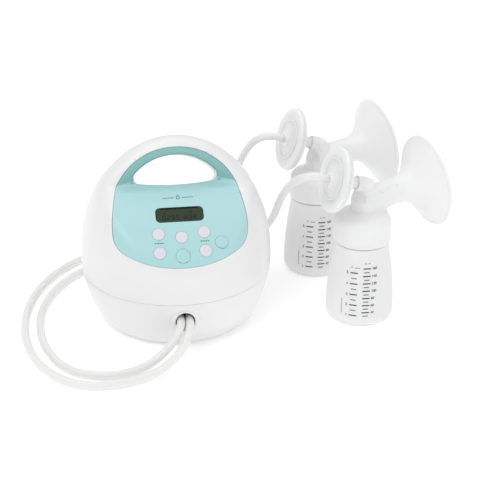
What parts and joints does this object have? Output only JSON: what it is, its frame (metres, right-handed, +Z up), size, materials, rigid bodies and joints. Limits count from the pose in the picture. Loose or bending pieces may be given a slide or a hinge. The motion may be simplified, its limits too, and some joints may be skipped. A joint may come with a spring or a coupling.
{
  "type": "electric breast pump",
  "caption": "Round electric breast pump with carrying handle, sloped button panel and display, joined by two air tubes to two bottles with breast shields.",
  "frame": {"origin": "on the table under the middle of the round pump unit", "axes": "+X to the right seen from the front, towards the bottles; -Y is the front with the tube port; +Z up"},
  "size_m": [0.394, 0.2835, 0.1755],
  "materials": {
    "shell_white": "glossy white ABS",
    "panel_mint": "satin mint ABS",
    "button_white": "satin white",
    "foot_rubber": "matt",
    "screw_steel": "zinc plated",
    "motor_steel": "turned",
    "brass_cam": "turned",
    "lcd_window": "dark olive tinted, glossy",
    "dark_plastic": "matt",
    "circuit_board": "solder mask",
    "silicone_tube": "translucent silicone",
    "valve_silicone": "translucent silicone",
    "natural_plastic": "acetal",
    "copper_coil": "taped winding",
    "battery_wrap": "shrink wrap",
    "frosted_plastic": "frosted translucent polypropylene",
    "bottle_plastic": "frosted translucent polypropylene"
  },
  "bodies": {
    "root_body": {"upper_housing": "shell_white", "control_panel": "panel_mint", "base_housing": "shell_white", "rubber_feet": "foot_rubber", "housing_screws": "screw_steel", "lcd_window": "lcd_window", "lcd_module": "dark_plastic", "control_board": "circuit_board", "tact_switches": "dark_plastic", "board_screws": "screw_steel", "port_ring": "shell_white", "port_manifold": "dark_plastic", "vacuum_hose": "silicone_tube", "motor_can": "motor_steel", "pump_crankcase": "dark_plastic", "head_cover": "dark_plastic", "head_screws": "screw_steel", "motor_mounts": "foot_rubber", "valve_coil": "copper_coil", "valve_spring": "motor_steel", "battery_pack": "battery_wrap", "dc_jack": "dark_plastic", "breast_shield_1": "frosted_plastic", "duckbill_valve_1": "valve_silicone", "tube_1": "silicone_tube", "breast_shield_2": "frosted_plastic", "duckbill_valve_2": "valve_silicone", "tube_2": "silicone_tube"},
    "button_cycle_up": {"button_cycle_up": "button_white"},
    "button_cycle_down": {"button_cycle_down": "button_white"},
    "button_vacuum_up": {"button_vacuum_up": "button_white"},
    "button_vacuum_down": {"button_vacuum_down": "button_white"},
    "button_mode": {"button_mode": "button_white"},
    "button_power": {"button_power": "panel_mint"},
    "button_light": {"button_light": "panel_mint"},
    "crank": {"motor_shaft": "motor_steel", "eccentric_cam": "brass_cam"},
    "diaphragm_drive": {"diaphragm": "valve_silicone", "diaphragm_rod": "natural_plastic"},
    "valve_core": {"valve_plunger": "motor_steel"},
    "backflow_1": {"backflow_housing_1": "frosted_plastic", "backflow_cap_1": "frosted_plastic"},
    "membrane_1": {"backflow_membrane_1": "valve_silicone"},
    "bottle_turn_body_1": {"bottle_1": "bottle_plastic"},
    "backflow_2": {"backflow_housing_2": "frosted_plastic", "backflow_cap_2": "frosted_plastic"},
    "membrane_2": {"backflow_membrane_2": "valve_silicone"},
    "bottle_turn_body_2": {"bottle_2": "bottle_plastic"}
  },
  "joints": [
    {"name": "cycle_up_press", "type": "slide", "parent": "root_body", "child": "button_cycle_up", "axis": [0, 0.6434, -0.7655], "range_m": [0, 0.0011], "stiffness_N_per_m": 900},
    {"name": "cycle_down_press", "type": "slide", "parent": "root_body", "child": "button_cycle_down", "axis": [0, 0.7187, -0.6953], "range_m": [0, 0.0011], "stiffness_N_per_m": 900},
    {"name": "vacuum_up_press", "type": "slide", "parent": "root_body", "child": "button_vacuum_up", "axis": [0, 0.6434, -0.7655], "range_m": [0, 0.0011], "stiffness_N_per_m": 900},
    {"name": "vacuum_down_press", "type": "slide", "parent": "root_body", "child": "button_vacuum_down", "axis": [0, 0.7187, -0.6953], "range_m": [0, 0.0011], "stiffness_N_per_m": 900},
    {"name": "mode_press", "type": "slide", "parent": "root_body", "child": "button_mode", "axis": [0, 0.6608, -0.7506], "range_m": [0, 0.0011], "stiffness_N_per_m": 900},
    {"name": "power_press", "type": "slide", "parent": "root_body", "child": "button_power", "axis": [0, 0.734, -0.6791], "range_m": [0, 0.0011], "stiffness_N_per_m": 900},
    {"name": "light_press", "type": "slide", "parent": "root_body", "child": "button_light", "axis": [0, 0.6882, -0.7256], "range_m": [0, 0.0011], "stiffness_N_per_m": 900},
    {"name": "motor_spin", "type": "hinge", "parent": "root_body", "child": "crank", "pos_m": [0.008, 0.008, 0.032], "axis": [1, 0, 0], "continuous": true},
    {"name": "diaphragm_stroke", "type": "slide", "parent": "root_body", "child": "diaphragm_drive", "axis": [0, 0, 1], "range_m": [-0.002, 0.002]},
    {"name": "valve_stroke", "type": "slide", "parent": "root_body", "child": "valve_core", "axis": [0, 0, -1], "range_m": [0, 0.002], "stiffness_N_per_m": 300, "deforming": ["valve_spring"]},
    {"name": "backflow_swivel_1", "type": "hinge", "parent": "root_body", "child": "backflow_1", "pos_m": [0.16318, -0.03137, 0.1335], "axis": [-0.9467, -0.1669, 0.2756], "range_deg": [-45, 45]},
    {"name": "membrane_flex_1", "type": "slide", "parent": "backflow_1", "child": "membrane_1", "axis": [-0.9467, -0.1669, 0.2756], "range_m": [-0.0008, 0.0008]},
    {"name": "bottle_unscrew_1", "type": "hinge", "parent": "root_body", "child": "bottle_turn_body_1", "pos_m": [0.1693, -0.0295, 0], "axis": [0, 0, 1], "range_deg": [0, 300]},
    {"name": "backflow_swivel_2", "type": "hinge", "parent": "root_body", "child": "backflow_2", "pos_m": [0.14058, 0.07343, 0.1335], "axis": [-0.9467, -0.1669, 0.2756], "range_deg": [-45, 45]},
    {"name": "membrane_flex_2", "type": "slide", "parent": "backflow_2", "child": "membrane_2", "axis": [-0.9467, -0.1669, 0.2756], "range_m": [-0.0008, 0.0008]},
    {"name": "bottle_unscrew_2", "type": "hinge", "parent": "root_body", "child": "bottle_turn_body_2", "pos_m": [0.1467, 0.0753, 0], "axis": [0, 0, 1], "range_deg": [0, 300]}
  ]
}
